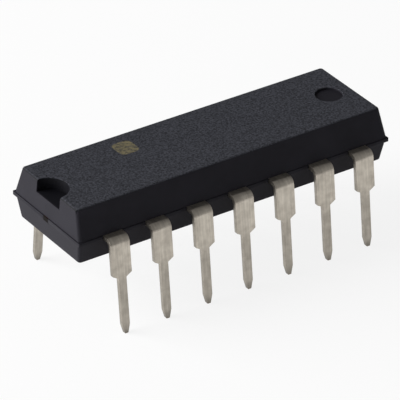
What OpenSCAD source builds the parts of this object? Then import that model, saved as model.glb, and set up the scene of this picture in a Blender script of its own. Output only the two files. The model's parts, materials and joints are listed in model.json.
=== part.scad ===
// Fourteen-lead dual in-line package: a moulded body, two rows of formed leads, and inside it
// the die on its paddle with one bond wire to each lead.
// All lengths are in millimetres. The origin is on the board side, midway between the rows, at
// the height of the lead tips. X runs along the package from the notched end, Y across it, Z up.
// Lead 1 is beside the notch in the row at -Y, and the count runs round the package from there.

/* [Body] */
// Length of the body at the parting line
body_length = 19.2; // [18.6:0.1:20]
// Width of the body at the parting line
body_width = 6.3; // [5.9:0.05:6.8]
// Height of the body above the parting line
upper_height = 1.63; // [1.5:0.01:2.2]
// Height of the body below the parting line
lower_height = 1.44; // [1.3:0.01:2]
// Draft of the two long sides above the parting line, in degrees
upper_side_draft = 16.5; // [5:0.5:18]
// Draft of the two long sides below the parting line, in degrees
lower_side_draft = 12; // [5:0.5:18]
// Draft of the two ends, in degrees
end_draft = 5.5; // [3:0.5:10]
// Radius of the four upright corners
corner_radius = 0.2; // [0.2:0.05:0.5]
// Radius of the edge round the top face
top_edge_radius = 0.14; // [0.05:0.01:0.18]
// Radius of the edge round the underside
bottom_edge_radius = 0.12; // [0.05:0.01:0.18]
// How far the flash stands out along the parting line
flash_width = 0.06; // [0.04:0.01:0.2]
// Thickness of the flash
flash_thickness = 0.22; // [0.05:0.01:0.24]

/* [Marks in the mould] */
// Radius of the half-round notch beside lead 1
notch_radius = 1.1; // [0.6:0.05:1.2]
// Depth of the notch below the top face
notch_depth = 0.7; // [0.4:0.05:1.2]
// Diameter of the round ejector mark in the top face
top_mark_diameter = 1.5; // [1:0.05:2]
// Distance from the unnotched edge of the top face to the centre of that mark
top_mark_inset = 1.42; // [1.2:0.02:2]
// Diameter of the two ejector marks in the underside
bottom_mark_diameter = 1.2; // [0.8:0.1:2]
// Distance between the two ejector marks in the underside
bottom_mark_spacing = 10.16; // [6:0.02:14]
// Depth of all ejector marks
mark_depth = 0.12; // [0.05:0.01:0.2]

/* [Leads] */
// Distance from one lead to the next along a row
lead_pitch = 2.54; // [2.5:0.01:2.58]
// Distance between the two rows at the lower ends of the shoulders, before they go into a board
row_spacing = 7.9; // [7.6:0.01:8.4]
// How far the two rows splay outward, in degrees
splay = 6; // [0:0.5:12]
// Thickness of the sheet that the leads and the die paddle are stamped from
sheet_thickness = 0.25; // [0.2:0.01:0.3]
// Inside radius of the bend
bend_radius = 0.16; // [0.1:0.01:0.25]
// Width of the shoulder
shoulder_width = 1.15; // [1:0.01:1.5]
// Height of the slanted corner between the shoulder and the pin
shoulder_slant = 0.2; // [0.1:0.01:0.5]
// Distance from the lower end of the shoulders to the underside of the body
standoff = 0.8; // [0.6:0.01:1.2]
// Width of the pin below the shoulder
pin_width = 0.46; // [0.38:0.01:0.53]
// Length of the pin, from the shoulder to the tip
pin_length = 3.16; // [2.9:0.01:3.6]
// Length of the tapered tip
tip_length = 0.5; // [0.3:0.01:0.8]
// Width of the blunt end of the tip
tip_width = 0.2; // [0.1:0.01:0.3]

/* [Inner fingers] */
// How far the full width of a lead runs on inside the body
root_length = 0.4; // [0.3:0.05:0.5]
// Width of a finger where it turns toward the die
finger_width = 0.4; // [0.34:0.01:0.46]
// Width of a finger at its tip
finger_tip_width = 0.28; // [0.24:0.01:0.32]
// Distance from the full-width root to the turn of the two middle fingers
first_turn = 0.12; // [0.08:0.01:0.18]
// How much further in each finger turns than the one nearer the middle
turn_step = 0.3; // [0.26:0.01:0.34]
// Distance between the finger tips along the sides of the paddle
finger_tip_pitch = 1.15; // [1.1:0.01:1.2]
// Distance from the axis of the package to the finger tips at the ends of the paddle
end_tip_offset = 0.62; // [0.58:0.01:0.7]
// Gap between the finger tips and the paddle
finger_gap = 0.3; // [0.25:0.01:0.35]

/* [Die paddle] */
// Length of the paddle
paddle_length = 4.4; // [4.2:0.1:4.8]
// Width of the paddle
paddle_width = 2.2; // [2:0.05:2.3]
// How far the paddle is pressed down below the leads
paddle_downset = 0.3; // [0.2:0.01:0.4]
// Length of the slope that takes the tie bars down to the paddle
downset_run = 0.4; // [0.3:0.05:0.6]
// Width of the tie bars that held the paddle in the mould
tie_bar_width = 0.45; // [0.3:0.01:0.5]

/* [Die and bond wires] */
// Length of the die
die_length = 1.9; // [1.6:0.05:2.4]
// Width of the die
die_width = 1.5; // [1.3:0.05:1.7]
// Thickness of the die
die_thickness = 0.28; // [0.2:0.01:0.35]
// How far the die attach shows round the die
attach_border = 0.08; // [0.04:0.01:0.12]
// Thickness of the die attach
attach_thickness = 0.03; // [0.02:0.01:0.05]
// Distance between the bond pads along the sides of the die
pad_pitch = 0.34; // [0.28:0.01:0.36]
// Distance from the edges of the die to the bond pads
pad_inset = 0.12; // [0.08:0.01:0.16]
// Distance from the axis of the package to the bond pads at the ends of the die
end_pad_offset = 0.4; // [0.3:0.01:0.5]
// Diameter of the bond wire
wire_diameter = 0.03; // [0.025:0.001:0.04]
// Height of the bond wire's loop above the pad
wire_loop = 0.3; // [0.2:0.01:0.4]
// Diameter of the ball where a wire starts on its pad
ball_diameter = 0.08; // [0.06:0.01:0.1]
// Height of that ball
ball_height = 0.03; // [0.02:0.005:0.04]
// Distance from a finger's end to the wire on it
stitch_inset = 0.18; // [0.12:0.01:0.25]

/* [Hidden] */
lead_count = 14;
row_count = lead_count / 2;
middle_column = (row_count + 1) / 2;
outer_column = row_count - middle_column;

// Heights above the lead tips
underside_z = pin_length + standoff;
parting_z = underside_z + lower_height;
top_z = parting_z + upper_height;
paddle_top_z = parting_z - paddle_downset;
attach_top_z = paddle_top_z + attach_thickness;
die_top_z = attach_top_z + die_thickness;

// The sheet's middle plane, and the bend that turns it down into a leg
sheet_mid_z = parting_z - sheet_thickness / 2;
bend_mid_radius = bend_radius + sheet_thickness / 2;
bend_angle = 90 - splay;
bend_steps = 10;
bend_end_z = sheet_mid_z - bend_mid_radius * (1 - cos(bend_angle));
bend_start_y = row_spacing / 2 + (pin_length - bend_end_z) * tan(splay) - bend_mid_radius * sin(bend_angle);

// Where the root of a lead ends inside the body
root_end_y = body_width / 2 - root_length;

// The top and bottom faces, whose edges the draft moves in from the parting line
top_face = [
    body_length - 2 * upper_height * tan(end_draft),
    body_width - 2 * upper_height * tan(upper_side_draft)
];
bottom_face = [
    body_length - 2 * lower_height * tan(end_draft),
    body_width - 2 * lower_height * tan(lower_side_draft)
];

corner_steps = 32;
overlap = 0.02;
reach = 2 * top_z;

plastic_colour = [0.15, 0.15, 0.16];
tinned_colour = [0.72, 0.7, 0.66];
copper_colour = [0.78, 0.5, 0.34];
silicon_colour = [0.35, 0.38, 0.45];
attach_colour = [0.62, 0.62, 0.6];
gold_colour = [0.9, 0.72, 0.3];

function lead_name(n) = str("lead_", n < 10 ? "0" : "", n);
function wire_name(n) = str("bond_wire_", n < 10 ? "0" : "", n);

// Columns are counted from the middle of a row, so that both rows share one set of shapes
function in_back_row(n) = n > row_count;
function column(n) = in_back_row(n) ? lead_count + 1 - n - middle_column : n - middle_column;
function column_x(column) = column * lead_pitch;

// Offsets across a path: the unit normal of a stretch, and the mitre where two stretches meet
function normal(a, b) = [a[1] - b[1], b[0] - a[0]] / norm(b - a);
function mitre(path, i) =
    let (
        last = len(path) - 1,
        before = normal(path[max(i - 1, 0)], path[max(i, 1)]),
        after = normal(path[min(i, last - 1)], path[min(i + 1, last)])
    )
    (before + after) / (1 + before * after);

// The outline of a strip along a path, with half its width given at each point
function strip(path, half_widths) =
    let (last = len(path) - 1)
    concat(
        [for (i = [0 : last]) path[i] + half_widths[i] * mitre(path, i)],
        [for (i = [last : -1 : 0]) path[i] - half_widths[i] * mitre(path, i)]
    );

function even(path, width) = [for (p = path) width / 2];

// Where the finger of a column turns and where it ends beside the paddle, in the row at -Y
function turn_point(column) =
    [column_x(column), -root_end_y + first_turn + abs(column) * turn_step];
function tip_point(column) =
    abs(column) == outer_column
    ? [sign(column) * (paddle_length / 2 + finger_gap), -end_tip_offset]
    : [column * finger_tip_pitch, -paddle_width / 2 - finger_gap];

// The two ends of a bond wire, in plan
function pad_point(column) =
    abs(column) == outer_column
    ? [sign(column) * (die_length / 2 - pad_inset), -end_pad_offset]
    : [column * pad_pitch, pad_inset - die_width / 2];
function stitch_point(column) =
    let (tip = tip_point(column), back = turn_point(column) - tip)
    tip + back * stitch_inset / norm(back);

// A ring of the four corners of a rectangle with round upright corners
module at_corners(size, radius) {
    for (x = [-1, 1], y = [-1, 1])
        translate([x * (size[0] / 2 - radius), y * (size[1] / 2 - radius), 0])
            children();
}

// One corner of a face: an upright cylinder whose upper edge is rounded
module rounded_corner(edge_radius) {
    rotate_extrude($fn = corner_steps)
        intersection() {
            union() {
                translate([corner_radius - edge_radius, -edge_radius])
                    circle(edge_radius, $fn = corner_steps);
                translate([0, -edge_radius])
                    square([corner_radius - edge_radius, edge_radius]);
            }
            translate([0, -edge_radius])
                square([corner_radius, edge_radius]);
        }
}

// Half of the body, from the parting line up to a face with a rounded edge
module body_half(height, face, edge_radius) {
    hull() {
        at_corners([body_length, body_width], corner_radius)
            cylinder(r = corner_radius, h = overlap, $fn = corner_steps);
        translate([0, 0, height])
            at_corners(face, corner_radius)
                rounded_corner(edge_radius);
    }
}

// The thin fin of plastic that the mould leaves along the parting line
module flash() {
    size = [body_length + 2 * flash_width, body_width + 2 * flash_width];
    translate([0, 0, parting_z - flash_thickness])
        hull()
            at_corners(size, flash_width)
                cylinder(r = flash_width, h = flash_thickness, $fn = corner_steps);
}

module notch() {
    translate([-top_face[0] / 2, 0, top_z - notch_depth])
        cylinder(r = notch_radius, h = notch_depth + overlap, $fn = 64);
}

module ejector_marks() {
    translate([top_face[0] / 2 - top_mark_inset, 0, top_z - mark_depth])
        cylinder(d = top_mark_diameter, h = mark_depth + overlap, $fn = 64);
    for (side = [-1, 1])
        translate([side * bottom_mark_spacing / 2, 0, underside_z - overlap])
            cylinder(d = bottom_mark_diameter, h = mark_depth + overlap, $fn = 64);
}

module moulded_body() {
    color(plastic_colour)
        difference() {
            union() {
                translate([0, 0, parting_z])
                    body_half(upper_height, top_face, top_edge_radius);
                translate([0, 0, parting_z])
                    mirror([0, 0, 1])
                        body_half(lower_height, bottom_face, bottom_edge_radius);
                flash();
            }
            notch();
            ejector_marks();
            die_paddle();
            die_attach();
            die();
            for (n = [1 : lead_count]) {
                lead(n);
                bond_wire(n);
            }
        }
}

// The stretch of sheet that a lead has in the plane of the frame: root, turn and finger
module flat_of_lead(column) {
    path = [
        [column_x(column), -root_end_y - overlap],
        turn_point(column),
        tip_point(column)
    ];
    half_widths = [finger_width, finger_width, finger_tip_width] / 2;
    translate([0, 0, parting_z - sheet_thickness])
        linear_extrude(sheet_thickness) {
            polygon(strip(path, half_widths));
            translate([column_x(column) - shoulder_width / 2, -bend_start_y])
                square([shoulder_width, bend_start_y - root_end_y]);
        }
}

// The outline of the leg seen from the side of the package
module leg_outline(column) {
    right_side = [
        [shoulder_width / 2, top_z],
        [shoulder_width / 2, pin_length + shoulder_slant],
        [pin_width / 2, pin_length],
        [pin_width / 2, tip_length],
        [tip_width / 2, 0]
    ];
    left_side = [for (i = [len(right_side) - 1 : -1 : 0]) [-right_side[i][0], right_side[i][1]]];
    translate([column_x(column), 0, 0])
        rotate([90, 0, 0])
            linear_extrude(reach)
                polygon(concat(right_side, left_side));
}

// The bend and the leg, as a bent strip seen from the end of the package
module bent_strip() {
    bend = [
        for (i = [0 : bend_steps])
            let (a = bend_angle * i / bend_steps)
            [
                bend_start_y + bend_mid_radius * sin(a),
                sheet_mid_z - bend_mid_radius * (1 - cos(a))
            ]
    ];
    foot = [row_spacing / 2 + (pin_length + overlap) * tan(splay), -overlap];
    path = concat([[bend_start_y - overlap, sheet_mid_z]], bend, [foot]);
    rotate([90, 0, -90])
        translate([0, 0, -reach])
            linear_extrude(2 * reach)
                polygon(strip(path, even(path, sheet_thickness)));
}

module front_lead(column) {
    intersection() {
        bent_strip();
        leg_outline(column);
    }
    flat_of_lead(column);
}

module in_row(n) {
    if (in_back_row(n))
        mirror([0, 1, 0])
            children();
    else
        children();
}

module lead(n) {
    color(tinned_colour)
        in_row(n)
            front_lead(column(n));
}

// The paddle and its two tie bars: one strip, pressed down in the middle
module die_paddle() {
    slope_start = paddle_length / 2;
    slope_end = slope_start + downset_run;
    bar_end = body_length / 2 + flash_width;
    low_z = sheet_mid_z - paddle_downset;
    path = [
        [-bar_end, sheet_mid_z],
        [-slope_end, sheet_mid_z],
        [-slope_start, low_z],
        [slope_start, low_z],
        [slope_end, sheet_mid_z],
        [bar_end, sheet_mid_z]
    ];
    color(copper_colour)
        intersection() {
            rotate([90, 0, 0])
                translate([0, 0, -body_width / 2])
                    linear_extrude(body_width)
                        polygon(strip(path, even(path, sheet_thickness)));
            linear_extrude(top_z) {
                square([paddle_length, paddle_width], center = true);
                square([2 * bar_end, tie_bar_width], center = true);
            }
        }
}

module plate(size, bottom_z, thickness) {
    translate([-size[0] / 2, -size[1] / 2, bottom_z])
        cube([size[0], size[1], thickness]);
}

module die_attach() {
    size = [die_length + 2 * attach_border, die_width + 2 * attach_border];
    color(attach_colour)
        plate(size, paddle_top_z, attach_thickness);
}

module die() {
    color(silicon_colour)
        plate([die_length, die_width], attach_top_z, die_thickness);
}

// A bond wire: a ball on the pad, a loop, and a foot cut level on the finger.
// It lies in an upright plane, so its path is drawn in that plane, as run and height.
function loop_point(run, fall, t) =
    let (
        start = [0, ball_height],
        rise = [0, ball_height + 1.5 * wire_loop],
        lead_in = [0.55 * run, ball_height + wire_loop],
        end = [run, fall]
    )
    pow(1 - t, 3) * start + 3 * pow(1 - t, 2) * t * rise
        + 3 * (1 - t) * t * t * lead_in + pow(t, 3) * end;

module front_wire(column) {
    sides = 6;
    loop_steps = 8;
    start = pad_point(column);
    along = stitch_point(column) - start;
    run = norm(along);
    loop = [for (i = [0 : loop_steps]) loop_point(run, parting_z - die_top_z, i / loop_steps)];
    ball = [[0, 0, 0.8], [0, 0.3, 1], [0, 0.7, 1], [0, 0.95, 0.75]];
    last = loop_steps;
    slope = loop[last] - loop[last - 1];

    // Each ring has its centre, its radius, and the way that it leans in the plane of the loop
    rings = concat(
        [for (b = ball) [[b[0], b[1] * ball_height], b[2] * ball_diameter / 2, [-1, 0]]],
        [
            for (i = [1 : last])
                [loop[i], wire_diameter / 2, i == last ? [-norm(slope) / slope[1], 0] : mitre(loop, i)]
        ]
    );
    ahead = along / run;
    points = [
        for (ring = rings, s = [0 : sides - 1])
            let (
                around = 360 * s / sides,
                in_plane = ring[0] + ring[1] * sin(around) * ring[2],
                across = ring[1] * cos(around)
            )
            [
                start[0] + in_plane[0] * ahead[0] - across * ahead[1],
                start[1] + in_plane[0] * ahead[1] + across * ahead[0],
                die_top_z + in_plane[1]
            ]
    ];
    sweep(points, sides, len(rings));
}

// A closed sweep through rings of points, each with the same number of sides
module sweep(points, sides, ring_count) {
    polyhedron(
        points = points,
        faces = concat(
            [[for (s = [0 : sides - 1]) s]],
            [
                for (r = [0 : ring_count - 2], s = [0 : sides - 1])
                    let (next = (s + 1) % sides)
                    [r * sides + s, (r + 1) * sides + s, (r + 1) * sides + next, r * sides + next]
            ],
            [[for (s = [sides - 1 : -1 : 0]) (ring_count - 1) * sides + s]]
        )
    );
}

module bond_wire(n) {
    color(gold_colour)
        in_row(n)
            front_wire(column(n));
}

moulded_body();
die_paddle();
die_attach();
die();
for (n = [1 : lead_count]) {
    lead(n);
    bond_wire(n);
}
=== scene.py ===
# %% [markdown]
# A chip in a plastic dual in-line package, standing on the tips of its fourteen leads.
# The real object is a black epoxy moulding with two rows of bent, tin-plated leads, and the die, its
# paddle and the bond wires shut inside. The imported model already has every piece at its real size, so this
# lesson is about the finish of each surface, the small edges that catch the light, and a plain studio to
# show them in.

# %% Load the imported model
import json
import math

import bpy
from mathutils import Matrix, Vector

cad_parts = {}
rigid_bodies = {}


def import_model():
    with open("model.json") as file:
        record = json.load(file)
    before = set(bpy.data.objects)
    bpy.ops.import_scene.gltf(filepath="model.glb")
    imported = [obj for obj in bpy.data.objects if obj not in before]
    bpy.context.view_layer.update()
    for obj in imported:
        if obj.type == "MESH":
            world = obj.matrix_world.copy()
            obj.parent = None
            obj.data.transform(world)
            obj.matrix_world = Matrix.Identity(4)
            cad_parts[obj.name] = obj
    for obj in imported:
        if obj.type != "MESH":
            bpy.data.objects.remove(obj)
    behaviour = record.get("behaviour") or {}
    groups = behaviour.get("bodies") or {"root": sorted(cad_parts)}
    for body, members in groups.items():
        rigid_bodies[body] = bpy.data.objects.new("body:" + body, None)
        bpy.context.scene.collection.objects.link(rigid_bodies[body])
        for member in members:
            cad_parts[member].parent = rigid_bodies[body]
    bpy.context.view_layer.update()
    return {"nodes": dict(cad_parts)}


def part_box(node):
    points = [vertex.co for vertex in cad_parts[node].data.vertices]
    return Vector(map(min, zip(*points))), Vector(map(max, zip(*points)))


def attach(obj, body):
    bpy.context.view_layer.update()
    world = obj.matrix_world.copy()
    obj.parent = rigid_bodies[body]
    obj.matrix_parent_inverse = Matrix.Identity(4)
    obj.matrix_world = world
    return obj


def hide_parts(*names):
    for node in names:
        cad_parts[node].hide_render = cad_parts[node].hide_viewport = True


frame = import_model()
MM = 0.001

# %% [markdown]
# The photograph was taken from far off with a long lens: the two long edges of the package are almost
# parallel in it. So the camera stands about 21 cm from a part that is 19 mm long, turned towards the
# notched end and looking down on it. Its focal length is written in pixels of the picture, as it was
# measured, and turned to the millimetres that Blender wants. The helper that turns two angles into a
# direction serves the lamps too.

# %% Camera
CAMERA_AZIMUTH = -33.83
CAMERA_ELEVATION = 30.96
CAMERA_DISTANCE = 214.6 * MM
AIM_RIGHT = -0.143 * MM
AIM_UP = 2.741 * MM
FOCAL_LENGTH_PX = 4063
PHOTO_WIDTH_PX = 400
SENSOR_WIDTH_MM = 36
NEAREST_SEEN = 10 * MM
FARTHEST_SEEN = 10


def direction(azimuth, elevation):
    """The way from the part to what stands at these two angles, in degrees, with azimuth 0 at -Y."""
    a, e = math.radians(azimuth), math.radians(elevation)
    return Vector((math.sin(a) * math.cos(e), -math.cos(a) * math.cos(e), math.sin(e)))


camera_data = bpy.data.cameras.new("camera")
camera_data.sensor_width = SENSOR_WIDTH_MM
camera_data.lens = FOCAL_LENGTH_PX / PHOTO_WIDTH_PX * SENSOR_WIDTH_MM
camera_data.clip_start = NEAREST_SEEN
camera_data.clip_end = FARTHEST_SEEN
camera = bpy.data.objects.new("camera", camera_data)
bpy.context.scene.collection.objects.link(camera)
bpy.context.scene.camera = camera

towards_camera = direction(CAMERA_AZIMUTH, CAMERA_ELEVATION)
right = Vector((0, 0, 1)).cross(towards_camera).normalized()
up = towards_camera.cross(right)
camera.location = AIM_RIGHT * right + AIM_UP * up + CAMERA_DISTANCE * towards_camera
camera.rotation_euler = towards_camera.to_track_quat("Z", "Y").to_euler()
print("lens in mm:", round(camera_data.lens, 1))

# %% [markdown]
# The finishes depend on where a surface lies: the top face is matt and the drafted sides are smoother.
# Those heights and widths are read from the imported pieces, so they stay right if the package is made in
# another size.

# %% Measure the pieces
body_low, body_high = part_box("moulded_body")
TOP_MM = body_high[2] / MM
UNDERSIDE_MM = body_low[2] / MM
FIN_MM = body_high[1] / MM
BODY_END_MM = body_high[0] / MM
TIE_BAR_END_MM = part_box("die_paddle")[1][0] / MM
DIE_TOP_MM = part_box("die")[1][2] / MM
print("heights in mm:", round(UNDERSIDE_MM, 2), round(DIE_TOP_MM, 2), round(TOP_MM, 2))
print("ends in mm:", round(FIN_MM, 2), round(BODY_END_MM, 2), round(TIE_BAR_END_MM, 2))

# %% [markdown]
# Two helpers serve every material. Colours are written as sRGB hex values, as a paint program shows them,
# and one function turns them to the linear values that a renderer works in. The other adds one node with
# its settings and its links, so that a material reads as a short list. An input whose name starts with _
# is meant by its number. On a Math node, 0, 1 and 2 are its values in their order. On a Mix node, 0 is the
# factor, 2 and 3 are the two numbers, 6 and 7 the two colours, and the mixed colour is output 2.

# %% Helpers for materials
MIX_COLOURS = {"data_type": "RGBA"}
MIX_NUMBERS = {"data_type": "FLOAT"}
TINT = {"data_type": "RGBA", "blend_type": "MULTIPLY"}

# Nearly all values of a noise lie between these two
NOISE_LOW = 0.3
NOISE_HIGH = 0.7


def srgb(text):
    """The linear colour of an sRGB hex value."""
    parts = [int(text[i:i + 2], 16) / 255 for i in (1, 3, 5)]
    linear = [v / 12.92 if v <= 0.04045 else ((v + 0.055) / 1.055) ** 2.4 for v in parts]
    return (*linear, 1)


def add_node(tree, kind, settings=None, **inputs):
    """One node of a material. An input is a value, or the output socket that feeds it."""
    node = tree.nodes.new(kind)
    for name, value in (settings or {}).items():
        setattr(node, name, value)
    for name, value in inputs.items():
        key = int(name[1:]) if name[0] == "_" else name.replace("_", " ")
        if isinstance(value, bpy.types.NodeSocket):
            tree.links.new(value, node.inputs[key])
        else:
            node.inputs[key].default_value = value
    return node


def new_material(name):
    """An empty material: itself, its node tree, and the place on the object in millimetres."""
    material = bpy.data.materials.new(name)
    material.use_nodes = True
    tree = material.node_tree
    tree.nodes.clear()
    coordinates = add_node(tree, "ShaderNodeTexCoord")
    to_mm = add_node(tree, "ShaderNodeMapping", Vector=coordinates.outputs["Object"],
                     Scale=(1 / MM, 1 / MM, 1 / MM))
    return material, tree, to_mm.outputs["Vector"]


print("the middle grey of a paint program is", round(srgb("#808080")[0], 2), "of white in linear light")

# %% [markdown]
# The body is epoxy filled with fine silica and carbon black, pressed into a steel mould at 175 degrees.
# The large top and bottom faces of such a mould are spark-eroded, which leaves an even matt grain on the
# plastic. The drafted sides and the recesses are finer. So the material first asks how high a point lies:
# the matt skin is 1 on the two large faces, and falls to 0 a twentieth of a millimetre inside them.

# %% Moulded epoxy: where it is matt
GRAIN_DEPTH_MM = 0.05
epoxy, tree, place = new_material("moulded_epoxy")
axes = add_node(tree, "ShaderNodeSeparateXYZ", Vector=place)
on_top = add_node(tree, "ShaderNodeMapRange", Value=axes.outputs["Z"],
                  From_Min=TOP_MM - GRAIN_DEPTH_MM, From_Max=TOP_MM - GRAIN_DEPTH_MM / 3)
on_underside = add_node(tree, "ShaderNodeMapRange", Value=axes.outputs["Z"],
                        From_Min=UNDERSIDE_MM + GRAIN_DEPTH_MM,
                        From_Max=UNDERSIDE_MM + GRAIN_DEPTH_MM / 3)
eroded = add_node(tree, "ShaderNodeMath", {"operation": "MAXIMUM"},
                  _0=on_top.outputs[0], _1=on_underside.outputs[0])
print("matt above", round(TOP_MM - GRAIN_DEPTH_MM, 2), "mm and below",
      round(UNDERSIDE_MM + GRAIN_DEPTH_MM, 2), "mm")

# %% [markdown]
# The matt grain is near black in its pits and grey on its peaks. The real grain is about 0.02 mm and too
# fine to show, so it is drawn at 0.1 mm. The smooth sides are darker. They only change slowly in tone,
# from the way the plastic flowed as it filled the mould.

# %% Moulded epoxy: its grain and tone
GRAIN_PER_MM = 10.0
FLOW_PER_MM = 0.6
grain_noise = add_node(tree, "ShaderNodeTexNoise", Vector=place, Scale=GRAIN_PER_MM, Detail=3.0,
                       Roughness=0.6)
grain = add_node(tree, "ShaderNodeMapRange", Value=grain_noise.outputs[0],
                 From_Min=NOISE_LOW, From_Max=NOISE_HIGH)
flow = add_node(tree, "ShaderNodeTexNoise", Vector=place, Scale=FLOW_PER_MM, Detail=2.0, Roughness=0.5)
matt_tone = add_node(tree, "ShaderNodeMix", MIX_COLOURS, _0=grain.outputs[0],
                     _6=srgb("#202124"), _7=srgb("#494a51"))
side_tone = add_node(tree, "ShaderNodeMix", MIX_COLOURS, _0=flow.outputs[0],
                     _6=srgb("#222126"), _7=srgb("#2e2d33"))
print("grain drawn at", 1 / GRAIN_PER_MM, "mm")

# %% [markdown]
# The floors of the round marks were pressed by the smooth ends of the ejector pins. They are darker still,
# partly for that smoother face and partly as a painted reflection of the dim room that they mirror. They
# are told from the sides by the way they face, because they lie flat. The notch is painted darkest, as
# painted shade in its recess, where its own walls keep the lamp out. It is told by its place: inside the
# drafted end, and between the two long sides. The operation COMPARE gives 1 where its first value is within
# the third of the second.

# %% Moulded epoxy: round marks and painted notch shade
LYING_FLAT = 0.9
NOTCH_FROM_MM = BODY_END_MM - 0.23
NOTCH_REACH_MM = 1.0
NOTCH_SIDE_MM = FIN_MM - 0.6
coordinates = add_node(tree, "ShaderNodeTexCoord")
facing = add_node(tree, "ShaderNodeSeparateXYZ", Vector=coordinates.outputs["Normal"])
upright = add_node(tree, "ShaderNodeMath", {"operation": "ABSOLUTE"}, _0=facing.outputs["Z"])
lying = add_node(tree, "ShaderNodeMath", {"operation": "GREATER_THAN"}, _0=upright.outputs[0],
                 _1=LYING_FLAT)
# The darker round floors: partly their smoother face, partly a painted dark reflection.
pressed_and_reflection_tone = add_node(tree, "ShaderNodeMix", MIX_COLOURS, _0=lying.outputs[0],
                        _6=side_tone.outputs[2], _7=srgb("#201f24"))

notch_along = add_node(tree, "ShaderNodeMath", {"operation": "COMPARE"}, _0=axes.outputs["X"],
                       _1=NOTCH_REACH_MM - NOTCH_FROM_MM, _2=NOTCH_REACH_MM)
notch_across = add_node(tree, "ShaderNodeMath", {"operation": "COMPARE"}, _0=axes.outputs["Y"],
                        _1=0.0, _2=NOTCH_SIDE_MM)
notch = add_node(tree, "ShaderNodeMath", {"operation": "MULTIPLY"}, _0=notch_along.outputs[0],
                 _1=notch_across.outputs[0])
# Painted shade: the notch is coloured near black for the shade in its recess.
smooth_tone_and_notch_shade = add_node(tree, "ShaderNodeMix", MIX_COLOURS, _0=notch.outputs[0],
                       _6=pressed_and_reflection_tone.outputs[2], _7=srgb("#131317"))
tone = add_node(tree, "ShaderNodeMix", MIX_COLOURS, _0=eroded.outputs[0],
                _6=smooth_tone_and_notch_shade.outputs[2], _7=matt_tone.outputs[2])
print("notch looked for beyond x", round(-NOTCH_FROM_MM, 2), "mm")

# %% [markdown]
# A small plain block of tan ink is printed on the top face near the notch. It is thin and worn, so the
# grain shows through it. It has round corners: its own coordinates run from -1 to 1 across it, and their
# fourth powers add up to less than 1 inside.

# %% Worn ink
INK_CENTRE_MM = (-3.95, 1.3)
INK_SIZE_MM = (1.2, 1.3)
INK_WEAR_PER_MM = 5.0
half = [side / 2 for side in INK_SIZE_MM]
ink_place = add_node(tree, "ShaderNodeMapping", Vector=place,
                     Location=(-INK_CENTRE_MM[0] / half[0], -INK_CENTRE_MM[1] / half[1], 0),
                     Scale=(1 / half[0], 1 / half[1], 1))
ink_axes = add_node(tree, "ShaderNodeSeparateXYZ", Vector=ink_place.outputs[0])
ink_x = add_node(tree, "ShaderNodeMath", {"operation": "POWER"}, _0=ink_axes.outputs["X"], _1=4.0)
ink_y = add_node(tree, "ShaderNodeMath", {"operation": "POWER"}, _0=ink_axes.outputs["Y"], _1=4.0)
ink_reach = add_node(tree, "ShaderNodeMath", {"operation": "ADD"}, _0=ink_x.outputs[0],
                     _1=ink_y.outputs[0])
ink_shape = add_node(tree, "ShaderNodeMapRange", Value=ink_reach.outputs[0], From_Min=1.0, From_Max=0.7)
ink_wear = add_node(tree, "ShaderNodeTexNoise", Vector=place, Scale=INK_WEAR_PER_MM, Detail=4.0,
                    Roughness=0.65)
ink_left = add_node(tree, "ShaderNodeMapRange", Value=ink_wear.outputs[0], From_Min=0.4, From_Max=0.6,
                    To_Min=0.3, To_Max=0.9)
ink_cover = add_node(tree, "ShaderNodeMath", {"operation": "MULTIPLY"}, _0=ink_shape.outputs[0],
                     _1=ink_left.outputs[0])
ink_on_top = add_node(tree, "ShaderNodeMath", {"operation": "MULTIPLY"}, _0=ink_cover.outputs[0],
                      _1=on_top.outputs[0])
inked_tone = add_node(tree, "ShaderNodeMix", MIX_COLOURS, _0=ink_on_top.outputs[0],
                      _6=tone.outputs[2], _7=srgb("#746c52"))
print("ink in mm:", INK_SIZE_MM)

# %% [markdown]
# The eroded faces are rough, the sides less so. The filler makes the skin dull, so its mirror part is set
# weak. The grain also stands up a little, and most on the eroded faces.

# %% Moulded epoxy: its gloss and relief
GRAIN_HEIGHT = 0.006 * MM
matt_roughness = add_node(tree, "ShaderNodeMapRange", Value=grain.outputs[0], To_Min=0.72, To_Max=0.88)
side_roughness = add_node(tree, "ShaderNodeMapRange", Value=flow.outputs[0], To_Min=0.42, To_Max=0.52)
roughness = add_node(tree, "ShaderNodeMix", MIX_NUMBERS, _0=eroded.outputs[0],
                     _2=side_roughness.outputs[0], _3=matt_roughness.outputs[0])
relief = add_node(tree, "ShaderNodeMapRange", Value=eroded.outputs[0], To_Min=0.12, To_Max=0.6)
bump = add_node(tree, "ShaderNodeBump", Strength=relief.outputs[0], Distance=GRAIN_HEIGHT,
                Height=grain.outputs[0])
shader = add_node(tree, "ShaderNodeBsdfPrincipled", Base_Color=inked_tone.outputs[2],
                  Roughness=roughness.outputs[0], IOR=1.55, Specular_IOR_Level=0.06,
                  Normal=bump.outputs[0])
add_node(tree, "ShaderNodeOutputMaterial", Surface=shader.outputs["BSDF"])
print("made", epoxy.name, "with", len(tree.nodes), "nodes")

# %% [markdown]
# The leads are punched from rolled copper alloy sheet and then plated with matt tin. Plating follows the
# fine lines that rolling left along the strip. The edges were sheared by the punch, which drags lines
# across the sheet's thickness. They are told by the way they face, which is along X. Real rolling lines
# are a few hundredths of a millimetre apart, and are drawn at about 0.1 mm.

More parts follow.
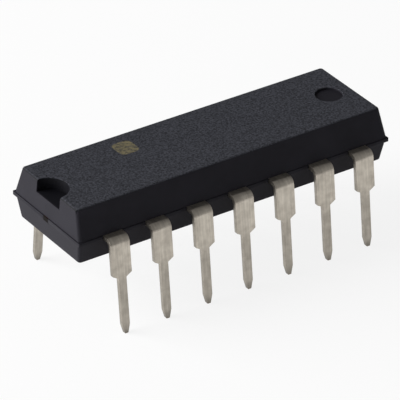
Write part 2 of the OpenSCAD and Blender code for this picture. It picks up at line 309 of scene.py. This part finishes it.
# %% Satin tin plate: its lines
MOTTLE_PER_MM = 2.2
ROLLED_LINES_PER_MM = (10, 0.7, 0.7)
SHEARED_LINES_PER_MM = (1.5, 2.0, 25)
FLAT_BELOW = 0.85
SHEARED_ABOVE = 0.95
tin, tree, place = new_material("satin_tin_plate")
axes = add_node(tree, "ShaderNodeSeparateXYZ", Vector=place)
coordinates = add_node(tree, "ShaderNodeTexCoord")
facing = add_node(tree, "ShaderNodeSeparateXYZ", Vector=coordinates.outputs["Normal"])
sideways = add_node(tree, "ShaderNodeMath", {"operation": "ABSOLUTE"}, _0=facing.outputs["X"])
sheared = add_node(tree, "ShaderNodeMapRange", Value=sideways.outputs[0],
                   From_Min=FLAT_BELOW, From_Max=SHEARED_ABOVE)

mottle = add_node(tree, "ShaderNodeTexNoise", Vector=place, Scale=MOTTLE_PER_MM, Detail=4.0,
                  Roughness=0.6)
along_sheet = add_node(tree, "ShaderNodeMapping", Vector=place, Scale=ROLLED_LINES_PER_MM)
rolled = add_node(tree, "ShaderNodeTexNoise", Vector=along_sheet.outputs[0], Scale=1.0, Detail=3.0)
across_sheet = add_node(tree, "ShaderNodeMapping", Vector=place, Scale=SHEARED_LINES_PER_MM)
dragged = add_node(tree, "ShaderNodeTexNoise", Vector=across_sheet.outputs[0], Scale=1.0, Detail=2.0)
lines = add_node(tree, "ShaderNodeMix", MIX_NUMBERS, _0=sheared.outputs[0],
                 _2=rolled.outputs[0], _3=dragged.outputs[0])
print("rolling lines drawn at", 1 / ROLLED_LINES_PER_MM[0], "mm")

# %% [markdown]
# Matt tin dulls to a warm grey with age, unevenly. The pins are painted darker low down and brighter
# towards the shoulders: painted shade and light, for the shaded floor and the bright paper that they mirror.
# The bar that held the leads side by side was trimmed off the sides of the shoulders, and those sides are
# painted darker, as painted shade from the dark body and the shaded floor beneath it that they mirror. The
# taper is darker towards its tip, and its very end was cut after plating and shows the bare alloy. So the
# colour of the plate is made first, the streaks, the painted shade and the darker taper then change it in
# turn, and the alloy comes last. Heights are counted from the tips of the leads.

# %% Satin tin plate: its colour, painted shade and bare end
SHADED_BELOW_MM = 2.6
LIT_ABOVE_MM = 3.6
SIDE_SHADE_FROM_MM = 3.1
SIDE_SHADE_ABOVE_MM = 3.3
TAPER_MM = 0.5
CUT_END_MM = 0.01
plated = add_node(tree, "ShaderNodeMix", MIX_COLOURS, _0=mottle.outputs[0],
                  _6=srgb("#9a9389"), _7=srgb("#c4bdb1"))
streaks = add_node(tree, "ShaderNodeMapRange", Value=lines.outputs[0],
                   From_Min=NOISE_LOW, From_Max=NOISE_HIGH, To_Min=0.86, To_Max=1.1)
# Painted shade and light: darker low on the pins, brighter towards the shoulders.
painted_height_shade = add_node(tree, "ShaderNodeMapRange", Value=axes.outputs["Z"],
                  From_Min=SHADED_BELOW_MM, From_Max=LIT_ABOVE_MM, To_Min=0.9, To_Max=1.18)
# Painted shade: the sheared sides of the shoulders are coloured darker.
on_shoulder = add_node(tree, "ShaderNodeMapRange", Value=axes.outputs["Z"],
                       From_Min=SIDE_SHADE_FROM_MM, From_Max=SIDE_SHADE_ABOVE_MM)
shaded_side = add_node(tree, "ShaderNodeMath", {"operation": "MULTIPLY"}, _0=sheared.outputs[0],
                   _1=on_shoulder.outputs[0])
painted_side_shade = add_node(tree, "ShaderNodeMapRange", Value=shaded_side.outputs[0], To_Min=1.0, To_Max=0.74)
taper = add_node(tree, "ShaderNodeMapRange", Value=axes.outputs["Z"],
                 From_Min=0.0, From_Max=TAPER_MM, To_Min=0.55, To_Max=1.0)

streaked_and_shaded = plated
for shade in (streaks, painted_height_shade, painted_side_shade, taper):
    streaked_and_shaded = add_node(tree, "ShaderNodeMix", TINT, _0=1.0, _6=streaked_and_shaded.outputs[2], _7=shade.outputs[0])
cut_end = add_node(tree, "ShaderNodeMapRange", Value=axes.outputs["Z"],
                   From_Min=3 * CUT_END_MM, From_Max=CUT_END_MM)
bared = add_node(tree, "ShaderNodeMix", MIX_COLOURS, _0=cut_end.outputs[0],
                 _6=streaked_and_shaded.outputs[2], _7=srgb("#8a6a4f"))
print("dulled below", SHADED_BELOW_MM, "mm, and tapered below", TAPER_MM, "mm")

# %% [markdown]
# Matt tin is a metal whose mirror image is blurred. It is a little glossier where it is brighter, and its
# lines are only a few thousandths of a millimetre high.

# %% Satin tin plate: its gloss
LINE_HEIGHT = 0.003 * MM
roughness = add_node(tree, "ShaderNodeMapRange", Value=mottle.outputs[0],
                     From_Min=NOISE_LOW, From_Max=NOISE_HIGH, To_Min=0.48, To_Max=0.34)
bump = add_node(tree, "ShaderNodeBump", Strength=0.25, Distance=LINE_HEIGHT, Height=lines.outputs[0])
shader = add_node(tree, "ShaderNodeBsdfPrincipled", Base_Color=bared.outputs[2], Metallic=1.0,
                  Roughness=roughness.outputs[0], Normal=bump.outputs[0])
add_node(tree, "ShaderNodeOutputMaterial", Surface=shader.outputs["BSDF"])
print("made", tin.name, "with", len(tree.nodes), "nodes")

# %% [markdown]
# The die paddle is stamped from the same copper alloy sheet, and inside the body it keeps its bright
# copper colour. Only the ends of its two tie bars reach the air. They were broken off after moulding, and
# have darkened to a brown-black.

# %% Stamped copper alloy
TARNISH_MM = 0.15
STRIP_LINES_PER_MM = (1.5, 20, 20)
copper, tree, place = new_material("stamped_copper_alloy")
axes = add_node(tree, "ShaderNodeSeparateXYZ", Vector=place)
from_middle = add_node(tree, "ShaderNodeMath", {"operation": "ABSOLUTE"}, _0=axes.outputs["X"])
tarnished = add_node(tree, "ShaderNodeMapRange", Value=from_middle.outputs[0],
                     From_Min=TIE_BAR_END_MM - TARNISH_MM, From_Max=TIE_BAR_END_MM - TARNISH_MM / 5)
along_sheet = add_node(tree, "ShaderNodeMapping", Vector=place, Scale=STRIP_LINES_PER_MM)
rolled = add_node(tree, "ShaderNodeTexNoise", Vector=along_sheet.outputs[0], Scale=1.0, Detail=3.0)
bright = add_node(tree, "ShaderNodeMix", MIX_COLOURS, _0=rolled.outputs[0],
                  _6=srgb("#b0714d"), _7=srgb("#cf9470"))
colour = add_node(tree, "ShaderNodeMix", MIX_COLOURS, _0=tarnished.outputs[0],
                  _6=bright.outputs[2], _7=srgb("#171210"))
roughness = add_node(tree, "ShaderNodeMapRange", Value=tarnished.outputs[0], To_Min=0.3, To_Max=0.65)
bump = add_node(tree, "ShaderNodeBump", Strength=0.3, Distance=LINE_HEIGHT, Height=rolled.outputs[0])
shader = add_node(tree, "ShaderNodeBsdfPrincipled", Base_Color=colour.outputs[2], Metallic=1.0,
                  Roughness=roughness.outputs[0], Normal=bump.outputs[0])
add_node(tree, "ShaderNodeOutputMaterial", Surface=shader.outputs["BSDF"])
print("made", copper.name, "with", len(tree.nodes), "nodes")

# %% [markdown]
# A die is polished silicon, sawn from a wafer. Its top carries the circuit, which looks like a patchwork
# of small rectangles in slightly different colours, because thin layers of oxide tint the light. Its sawn
# sides are plain grey. The blocks are drawn about 0.15 mm across.

# %% Polished silicon
CIRCUIT_DEPTH_MM = 0.02
BLOCKS_PER_MM = 6.5
SAW_MARKS_PER_MM = 30.0
silicon, tree, place = new_material("polished_silicon")
axes = add_node(tree, "ShaderNodeSeparateXYZ", Vector=place)
circuit_side = add_node(tree, "ShaderNodeMapRange", Value=axes.outputs["Z"],
                        From_Min=DIE_TOP_MM - CIRCUIT_DEPTH_MM,
                        From_Max=DIE_TOP_MM - CIRCUIT_DEPTH_MM / 4)
blocks = add_node(tree, "ShaderNodeTexVoronoi", {"distance": "CHEBYCHEV"}, Vector=place,
                  Scale=BLOCKS_PER_MM, Randomness=0.7)
block_axes = add_node(tree, "ShaderNodeSeparateColor", Color=blocks.outputs["Color"])
circuit = add_node(tree, "ShaderNodeMix", MIX_COLOURS, _0=block_axes.outputs[0],
                   _6=srgb("#4d5a78"), _7=srgb("#8a7f6a"))
saw_marks = add_node(tree, "ShaderNodeTexNoise", Vector=place, Scale=SAW_MARKS_PER_MM, Detail=2.0)
sawn = add_node(tree, "ShaderNodeMix", MIX_COLOURS, _0=saw_marks.outputs[0],
                _6=srgb("#5b5d63"), _7=srgb("#7a7c82"))
colour = add_node(tree, "ShaderNodeMix", MIX_COLOURS, _0=circuit_side.outputs[0],
                  _6=sawn.outputs[2], _7=circuit.outputs[2])
roughness = add_node(tree, "ShaderNodeMapRange", Value=circuit_side.outputs[0], To_Min=0.5, To_Max=0.15)
shader = add_node(tree, "ShaderNodeBsdfPrincipled", Base_Color=colour.outputs[2],
                  Roughness=roughness.outputs[0], IOR=3.5)
add_node(tree, "ShaderNodeOutputMaterial", Surface=shader.outputs["BSDF"])
print("made", silicon.name, "with", len(tree.nodes), "nodes")

# %% [markdown]
# The die is glued down with epoxy that is full of silver flakes, so that it conducts heat. It is a light
# grey paste with metallic glints. Flakes are about 0.01 mm, and are drawn at 0.03 mm.

# %% Silver-filled epoxy
FLAKES_PER_MM = 33.0
FLAKE_HEIGHT = 0.003 * MM
die_bond, tree, place = new_material("silver_filled_epoxy")
flakes = add_node(tree, "ShaderNodeTexVoronoi", Vector=place, Scale=FLAKES_PER_MM)
flake_axes = add_node(tree, "ShaderNodeSeparateColor", Color=flakes.outputs["Color"])
colour = add_node(tree, "ShaderNodeMix", MIX_COLOURS, _0=flake_axes.outputs[0],
                  _6=srgb("#8f8f8c"), _7=srgb("#d2d1cc"))
metal_part = add_node(tree, "ShaderNodeMath", {"operation": "GREATER_THAN"},
                      _0=flake_axes.outputs[1], _1=0.4)
bump = add_node(tree, "ShaderNodeBump", Strength=0.3, Distance=FLAKE_HEIGHT,
                Height=flake_axes.outputs[2])
shader = add_node(tree, "ShaderNodeBsdfPrincipled", Base_Color=colour.outputs[2], Roughness=0.45,
                  Metallic=metal_part.outputs[0], Normal=bump.outputs[0])
add_node(tree, "ShaderNodeOutputMaterial", Surface=shader.outputs["BSDF"])
print("made", die_bond.name, "with", len(tree.nodes), "nodes")

# %% [markdown]
# Bond wire is pure gold drawn to a third of a hair's width. Drawing leaves it smooth and bright, with a
# slight change of tone along it.

# %% Drawn gold
TONES_PER_MM = 6.0
gold, tree, place = new_material("drawn_gold_wire")
tone = add_node(tree, "ShaderNodeTexNoise", Vector=place, Scale=TONES_PER_MM, Detail=2.0)
colour = add_node(tree, "ShaderNodeMix", MIX_COLOURS, _0=tone.outputs[0],
                  _6=srgb("#e0a63a"), _7=srgb("#f3c766"))
roughness = add_node(tree, "ShaderNodeMapRange", Value=tone.outputs[0], To_Min=0.16, To_Max=0.26)
shader = add_node(tree, "ShaderNodeBsdfPrincipled", Base_Color=colour.outputs[2], Metallic=1.0,
                  Roughness=roughness.outputs[0])
add_node(tree, "ShaderNodeOutputMaterial", Surface=shader.outputs["BSDF"])
print("made", gold.name, "with", len(tree.nodes), "nodes")

# %% [markdown]
# The pieces inside the body are right as they are, so they only get their finish. It goes into the
# material slot of each mesh.

# %% Finish of the inner pieces
def give_finish(piece, material):
    """Leaves a piece with one material."""
    piece.data.materials.clear()
    piece.data.materials.append(material)


inner_finishes = {"die_paddle": copper, "die_attach": die_bond, "die": silicon}
inner_finishes.update({name: gold for name in frame["nodes"] if name.startswith("bond_wire")})
for name, material in inner_finishes.items():
    give_finish(frame["nodes"][name], material)
print("finished", len(inner_finishes), "inner pieces")

# %% [markdown]
# Moulded and plated edges are never quite sharp, and that small roundness is what draws a bright line
# along them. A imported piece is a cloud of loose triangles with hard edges, so it can't be bevelled as it
# is. A working copy of it is merged, and the triangles of each flat face are joined again.

# %% A working copy
SAME_POINT = 0.0005 * MM
SAME_PLANE = math.radians(0.3)


def working_copy(node, name):
    """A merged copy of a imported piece, with its flat faces whole again."""
    piece = bpy.data.objects.new(name, node.data.copy())
    piece.data.name = name
    bpy.context.scene.collection.objects.link(piece)
    bpy.ops.object.select_all(action="DESELECT")
    bpy.context.view_layer.objects.active = piece
    piece.select_set(True)
    bpy.ops.mesh.customdata_custom_splitnormals_clear()
    bpy.ops.object.mode_set(mode="EDIT")
    bpy.ops.mesh.select_all(action="SELECT")
    bpy.ops.mesh.remove_doubles(threshold=SAME_POINT)
    bpy.ops.mesh.dissolve_limited(angle_limit=SAME_PLANE)
    bpy.ops.object.mode_set(mode="OBJECT")
    return piece


print("points within", SAME_POINT / MM, "mm of each other are merged")

# %% [markdown]
# Only the edges that can be seen are bevelled. They are marked with a weight, which the Bevel modifier
# reads. Where two bevels meet on a short edge, as at the corners of the fin, their points fall together,
# and are merged. Weighted normals then keep the large faces flat beside their narrow bevels.

# %% Soft edges
SOFT_EDGE = 0.02 * MM
SHARP_FROM = math.radians(30)
SMOOTH_BELOW = math.radians(32)


def soften(piece, is_outer):
    """Bevels the sharp edges whose two ends pass the test, and smooths the rest by angle."""
    mesh = piece.data
    faces_at = {}
    for face in mesh.polygons:
        for key in face.edge_keys:
            faces_at.setdefault(key, []).append(face.normal)
    weight = mesh.attributes.new("bevel_weight_edge", "FLOAT", "EDGE")
    count = 0
    for edge in mesh.edges:
        normals = faces_at.get(edge.key, [])
        if len(normals) != 2 or normals[0].angle(normals[1]) < SHARP_FROM:
            continue
        ends = [mesh.vertices[i].co / MM for i in edge.vertices]
        if is_outer(*ends):
            weight.data[edge.index].value = 1
            count += 1
    bevel = piece.modifiers.new("soft_edges", "BEVEL")
    bevel.limit_method = "WEIGHT"
    bevel.width = SOFT_EDGE
    bevel.segments = 2
    bevel.use_clamp_overlap = False
    flat = piece.modifiers.new("flat_faces", "WEIGHTED_NORMAL")
    flat.keep_sharp = True
    bpy.ops.object.modifier_apply(modifier=bevel.name)
    bpy.ops.object.mode_set(mode="EDIT")
    bpy.ops.mesh.select_all(action="SELECT")
    bpy.ops.mesh.remove_doubles(threshold=SAME_POINT)
    bpy.ops.object.mode_set(mode="OBJECT")
    bpy.ops.object.shade_smooth_by_angle(angle=SMOOTH_BELOW)
    bpy.ops.object.modifier_apply(modifier=flat.name)
    return count


print("soft edges are", SOFT_EDGE / MM, "mm wide")

# %% [markdown]
# On the body, the soft edges are the rims of the notch and of the round ejector marks, and the thin fin of
# flash along the parting line. The slots in which the leads sit stay as sharp as the leads that made them.

# %% The moulded body
TOUCHING_MM = 0.01
body = working_copy(frame["nodes"]["moulded_body"], "soft_edged_body")


def on_body_outside(a, b):
    """True for an edge of the skin, and false for one of the cavities around the metal pieces."""
    at_face = all(abs(end.z - TOP_MM) < TOUCHING_MM or abs(end.z - UNDERSIDE_MM) < TOUCHING_MM
                  for end in (a, b))
    on_fin = all(abs(end.y) > FIN_MM - TOUCHING_MM or abs(end.x) > BODY_END_MM - TOUCHING_MM
                 for end in (a, b))
    return at_face or on_fin


edge_count = soften(body, on_body_outside)
give_finish(body, epoxy)
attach(body, "root")
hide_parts("moulded_body")
print("body:", edge_count, "edges softened,", len(body.data.polygons), "faces")

# %% [markdown]
# The fourteen leads differ only in their inner fingers. Outside the body each is the same bent strip, so
# one rule finds the edges to soften on all of them: those that reach beyond a line just inside the wall of
# the body.

# %% The leads
JUST_INSIDE_WALL_MM = FIN_MM - 0.2
lead_names = [name for name in frame["nodes"] if name.startswith("lead_")]


def on_lead_outside(a, b):
    """True for an edge of the part of a lead that stands outside the body."""
    return max(abs(a.y), abs(b.y)) > JUST_INSIDE_WALL_MM


for name in lead_names:
    lead = working_copy(frame["nodes"][name], "plated_" + name)
    edge_count = soften(lead, on_lead_outside)
    give_finish(lead, tin)
    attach(lead, "root")
    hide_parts(name)
print("leads:", len(lead_names), "and the last has", edge_count, "soft edges and",
      len(lead.data.polygons), "faces")

# %% [markdown]
# The part stands on a wide sheet of white paper. To the camera, and in mirrors and glass, the paper shines
# evenly at full white, mixed with a little of its true shading, so that the part keeps its soft shadow. To
# all other light it is plain matt paper. From below it is clear, so that the underside can be looked at.

# %% Floor
FLOOR_WIDTH = 2
SHADING_SHARE = 0.15
bpy.ops.object.select_all(action="DESELECT")
bpy.ops.mesh.primitive_plane_add(size=FLOOR_WIDTH, location=(0, 0, 0))
floor = bpy.context.object
floor.name = "floor"
paper, tree, place = new_material("white_paper")
diffuse = add_node(tree, "ShaderNodeBsdfDiffuse", Color=srgb("#f2f2f2"))
glow = add_node(tree, "ShaderNodeEmission", Strength=1.0)
path = add_node(tree, "ShaderNodeLightPath")
bounced = add_node(tree, "ShaderNodeMath", {"operation": "MAXIMUM"}, _0=path.outputs["Is Glossy Ray"],
                   _1=path.outputs["Is Transmission Ray"])
seen = add_node(tree, "ShaderNodeMath", {"operation": "MAXIMUM"}, _0=path.outputs["Is Camera Ray"],
                _1=bounced.outputs[0])
share = add_node(tree, "ShaderNodeMath", {"operation": "MULTIPLY"}, _0=seen.outputs[0],
                 _1=1 - SHADING_SHARE)
mix = add_node(tree, "ShaderNodeMixShader", _0=share.outputs[0],
               _1=diffuse.outputs[0], _2=glow.outputs[0])
clear = add_node(tree, "ShaderNodeBsdfTransparent")
side = add_node(tree, "ShaderNodeNewGeometry")
sheet = add_node(tree, "ShaderNodeMixShader", _0=side.outputs["Backfacing"],
                 _1=mix.outputs[0], _2=clear.outputs[0])
add_node(tree, "ShaderNodeOutputMaterial", Surface=sheet.outputs[0])
give_finish(floor, paper)
print("floor:", floor.dimensions.x, "m wide")

# %% [markdown]
# The studio is a dim even room with one large soft lamp at the left, low and behind the notched end. It
# makes the top face and that end brighter than the long side in front, and leaves the wall of the notch in
# shade, as in the photograph. A second lamp in front at the right is very weak, and only keeps the bends
# of the leads from going dark.

# %% World and lamps
ROOM_LIGHT = 0.2
world = bpy.data.worlds.new("world")
bpy.context.scene.world = world
world.use_nodes = True
world.node_tree.nodes.clear()
background = add_node(world.node_tree, "ShaderNodeBackground", Color=(1, 1, 1, 1), Strength=ROOM_LIGHT)
add_node(world.node_tree, "ShaderNodeOutputWorld", Surface=background.outputs[0])


def add_lamp(name, azimuth, elevation, distance, size, power):
    """A round soft lamp that shines on the part. In degrees, metres and watts."""
    data = bpy.data.lights.new(name, "AREA")
    data.shape = "DISK"
    data.size = size
    data.energy = power
    lamp = bpy.data.objects.new(name, data)
    bpy.context.scene.collection.objects.link(lamp)
    back = direction(azimuth, elevation)
    lamp.location = back * distance
    lamp.rotation_euler = back.to_track_quat("Z", "Y").to_euler()


add_lamp("key", azimuth=-122, elevation=25, distance=0.3, size=0.3, power=1.8)
add_lamp("fill", azimuth=40, elevation=30, distance=0.4, size=0.4, power=0.07)

bpy.context.scene.view_settings.view_transform = "Standard"
print("lamps:", len(bpy.data.lights))
